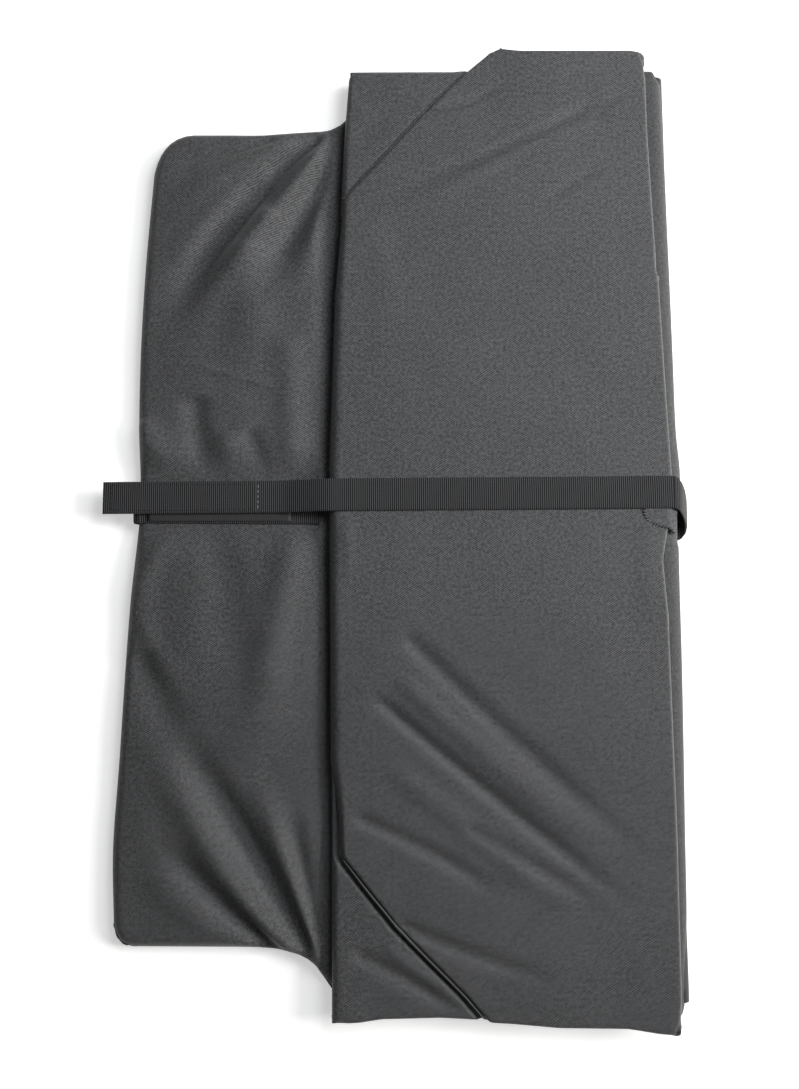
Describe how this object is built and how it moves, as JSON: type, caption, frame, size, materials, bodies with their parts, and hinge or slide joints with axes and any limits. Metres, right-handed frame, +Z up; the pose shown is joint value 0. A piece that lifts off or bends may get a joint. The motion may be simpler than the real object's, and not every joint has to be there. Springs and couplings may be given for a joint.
{
  "type": "film changing bag",
  "caption": "Soft light-proof changing bag for loading film by hand, double-layered with elastic sleeves and zips, folded flat and held by a webbing strap.",
  "frame": {"origin": "bottom centre of the bounding box, on the surface the bag lies on", "axes": "+Z up; the zip end points to -X and the fold is at +X; the packet's length runs along Y"},
  "size_m": [0.3583, 0.603, 0.0213],
  "materials": {
    "twill": "black nylon twill, slightly faded and dusty",
    "liner_cloth": "black rubber-coated lining cloth, satin",
    "webbing": "black ribbed grosgrain webbing",
    "fastener_tape": "hook-and-loop tape pile",
    "zip_tape": "woven zip tape",
    "zip_coil": "moulded nylon coil",
    "zip_metal": "black enamel",
    "elastic": "braided elastic"
  },
  "bodies": {
    "bag_body": {"body_lower_panel": "twill", "body_upper_panel": "twill", "liner_lower_panel": "liner_cloth", "liner_upper_panel": "liner_cloth", "fold_outer_ply": "twill", "fold_liner_ply": "liner_cloth", "outer_zip_tape_near": "zip_tape", "outer_zip_tape_far": "zip_tape", "outer_zip_coil_near": "zip_coil", "outer_zip_coil_far": "zip_coil", "outer_zip_stop_bottom": "zip_metal", "outer_zip_stop_top": "zip_metal", "inner_zip_tape_near": "zip_tape", "inner_zip_tape_far": "zip_tape", "inner_zip_coil_near": "zip_coil", "inner_zip_coil_far": "zip_coil", "inner_zip_stop_bottom": "zip_metal", "inner_zip_stop_top": "zip_metal", "strap_under_run": "webbing", "strap_left_wrap": "webbing", "strap_right_wrap": "webbing"},
    "shoulder_fold": {"shoulder_upper_panel": "twill", "shoulder_lower_panel": "twill", "shoulder_liner_lower": "liner_cloth", "shoulder_liner_upper": "liner_cloth", "sleeve_root_right": "twill", "sleeve_root_left": "twill", "armhole_seam_right": "twill", "armhole_seam_left": "twill", "strap_anchor_patch": "webbing"},
    "sleeve_right_near": {"sleeve_right_near": "twill"},
    "sleeve_right_far": {"sleeve_right_far": "twill", "sleeve_right_cuff_casing": "twill", "sleeve_right_cuff_elastic": "elastic"},
    "sleeve_left_near": {"sleeve_left_near": "twill"},
    "sleeve_left_far": {"sleeve_left_far": "twill", "sleeve_left_cuff_casing": "twill", "sleeve_left_cuff_elastic": "elastic"},
    "strap_top": {"strap_top_run": "webbing"},
    "strap_tab": {"strap_tab_webbing": "webbing", "strap_hook_tape": "fastener_tape"},
    "strap_loop_end": {"strap_loop_webbing": "webbing", "strap_loop_tape": "fastener_tape"},
    "outer_slider": {"outer_zip_slider": "zip_metal"},
    "outer_pull": {"outer_zip_pull": "zip_metal"},
    "inner_slider": {"inner_zip_slider": "zip_metal", "inner_zip_pull": "zip_metal"}
  },
  "joints": [
    {"name": "shoulder_open", "type": "hinge", "parent": "bag_body", "child": "shoulder_fold", "pos_m": [0.1692, 0, 0.0099], "axis": [0, 1, 0], "range_deg": [0, 180]},
    {"name": "sleeve_right_unfold", "type": "hinge", "parent": "shoulder_fold", "child": "sleeve_right_near", "pos_m": [0, 0.288, 0.01345], "axis": [1, 0, 0], "range_deg": [0, 180]},
    {"name": "sleeve_right_extend", "type": "hinge", "parent": "sleeve_right_near", "child": "sleeve_right_far", "pos_m": [0, 0.184, 0.01175], "axis": [1, 0, 0], "range_deg": [-180, 0]},
    {"name": "sleeve_left_unfold", "type": "hinge", "parent": "shoulder_fold", "child": "sleeve_left_near", "pos_m": [0, -0.288, 0.01345], "axis": [-1, 0, 0], "range_deg": [0, 180]},
    {"name": "sleeve_left_extend", "type": "hinge", "parent": "sleeve_left_near", "child": "sleeve_left_far", "pos_m": [0, -0.184, 0.01175], "axis": [-1, 0, 0], "range_deg": [-180, 0]},
    {"name": "strap_open", "type": "hinge", "parent": "shoulder_fold", "child": "strap_top", "pos_m": [0.1713, 0.0147, 0.0213], "axis": [0, 1, 0], "range_deg": [0, 150]},
    {"name": "strap_tab_peel", "type": "hinge", "parent": "strap_top", "child": "strap_tab", "pos_m": [-0.08715, 0.0127, 0.0142], "axis": [0, 1, 0], "range_deg": [0, 130]},
    {"name": "loop_end_lift", "type": "hinge", "parent": "bag_body", "child": "strap_loop_end", "pos_m": [-0.1586, 0.007, 0.0112], "axis": [0, 1, 0], "range_deg": [-150, 0]},
    {"name": "outer_zip_slide", "type": "slide", "parent": "bag_body", "child": "outer_slider", "axis": [0, 1, 0], "range_m": [0, 0.4]},
    {"name": "outer_pull_swing", "type": "hinge", "parent": "outer_slider", "child": "outer_pull", "pos_m": [-0.13, -0.1993, 0.0019], "axis": [-1, 0, 0], "range_deg": [0, 120]},
    {"name": "inner_zip_slide", "type": "slide", "parent": "bag_body", "child": "inner_slider", "axis": [0, 1, 0], "range_m": [0, 0.4]}
  ],
  "couplings": [
    {"joint": "sleeve_right_unfold", "follows": "shoulder_open", "ratio": 1},
    {"joint": "sleeve_right_extend", "follows": "shoulder_open", "ratio": -1},
    {"joint": "sleeve_left_unfold", "follows": "shoulder_open", "ratio": 1},
    {"joint": "sleeve_left_extend", "follows": "shoulder_open", "ratio": -1},
    {"joint": "loop_end_lift", "follows": "strap_open", "ratio": -1}
  ]
}
